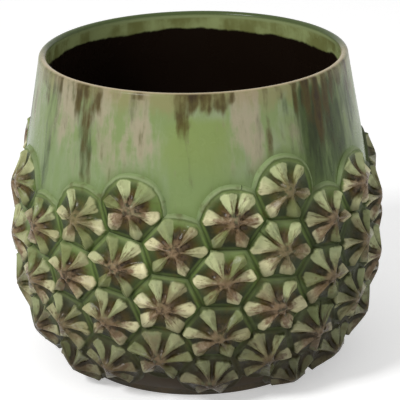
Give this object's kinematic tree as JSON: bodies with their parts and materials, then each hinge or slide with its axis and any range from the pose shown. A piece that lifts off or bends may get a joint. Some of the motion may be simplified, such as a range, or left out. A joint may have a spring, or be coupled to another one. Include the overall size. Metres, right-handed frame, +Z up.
{
  "type": "cachepot",
  "caption": "Round-bellied glazed ceramic cachepot with a tall smooth collar, a body covered in raised six-petalled rosettes like a pineapple's skin, and a low foot ring.",
  "frame": {"origin": "on the table, in the middle of the circle on which the foot ring stands", "axes": "+Z up through the mouth, -Y towards the front that the picture shows"},
  "size_m": [0.1814, 0.1811, 0.1505],
  "materials": {
    "glaze_green": "glossy reactive glaze, mid green with cream and brown streaks",
    "rosette_glaze": "glossy reactive glaze, cream-green on the petals, brown where thin, dark green where pooled",
    "glaze_brown": "satin dark brown glaze inside the pot",
    "bare_clay": "matte reddish brown clay"
  },
  "bodies": {
    "root": {"pot_wall": "glaze_green", "floor_slab": "glaze_brown", "foot_ring": "bare_clay", "rosette_01": "rosette_glaze", "rosette_02": "rosette_glaze", "rosette_03": "rosette_glaze", "rosette_04": "rosette_glaze", "rosette_05": "rosette_glaze", "rosette_06": "rosette_glaze", "rosette_07": "rosette_glaze", "rosette_08": "rosette_glaze", "rosette_09": "rosette_glaze", "rosette_10": "rosette_glaze", "rosette_11": "rosette_glaze", "rosette_12": "rosette_glaze", "rosette_13": "rosette_glaze", "rosette_14": "rosette_glaze", "rosette_15": "rosette_glaze", "rosette_16": "rosette_glaze", "rosette_17": "rosette_glaze", "rosette_18": "rosette_glaze", "rosette_19": "rosette_glaze", "rosette_20": "rosette_glaze", "rosette_21": "rosette_glaze", "rosette_22": "rosette_glaze", "rosette_23": "rosette_glaze", "rosette_24": "rosette_glaze", "rosette_25": "rosette_glaze", "rosette_26": "rosette_glaze", "rosette_27": "rosette_glaze", "rosette_28": "rosette_glaze", "rosette_29": "rosette_glaze", "rosette_30": "rosette_glaze", "rosette_31": "rosette_glaze", "rosette_32": "rosette_glaze", "rosette_33": "rosette_glaze", "rosette_34": "rosette_glaze", "rosette_35": "rosette_glaze", "rosette_36": "rosette_glaze", "rosette_strip_01": "rosette_glaze", "rosette_strip_02": "rosette_glaze", "rosette_strip_03": "rosette_glaze", "rosette_strip_04": "rosette_glaze", "rosette_strip_05": "rosette_glaze", "rosette_strip_06": "rosette_glaze", "rosette_strip_07": "rosette_glaze", "rosette_strip_08": "rosette_glaze", "rosette_strip_09": "rosette_glaze", "rosette_strip_10": "rosette_glaze", "rosette_strip_11": "rosette_glaze", "rosette_strip_12": "rosette_glaze", "rosette_strip_13": "rosette_glaze", "rosette_strip_14": "rosette_glaze", "rosette_strip_15": "rosette_glaze", "rosette_strip_16": "rosette_glaze", "rosette_strip_17": "rosette_glaze", "rosette_strip_18": "rosette_glaze", "rosette_strip_19": "rosette_glaze", "rosette_strip_20": "rosette_glaze", "rosette_strip_21": "rosette_glaze"}
  },
  "joints": []
}
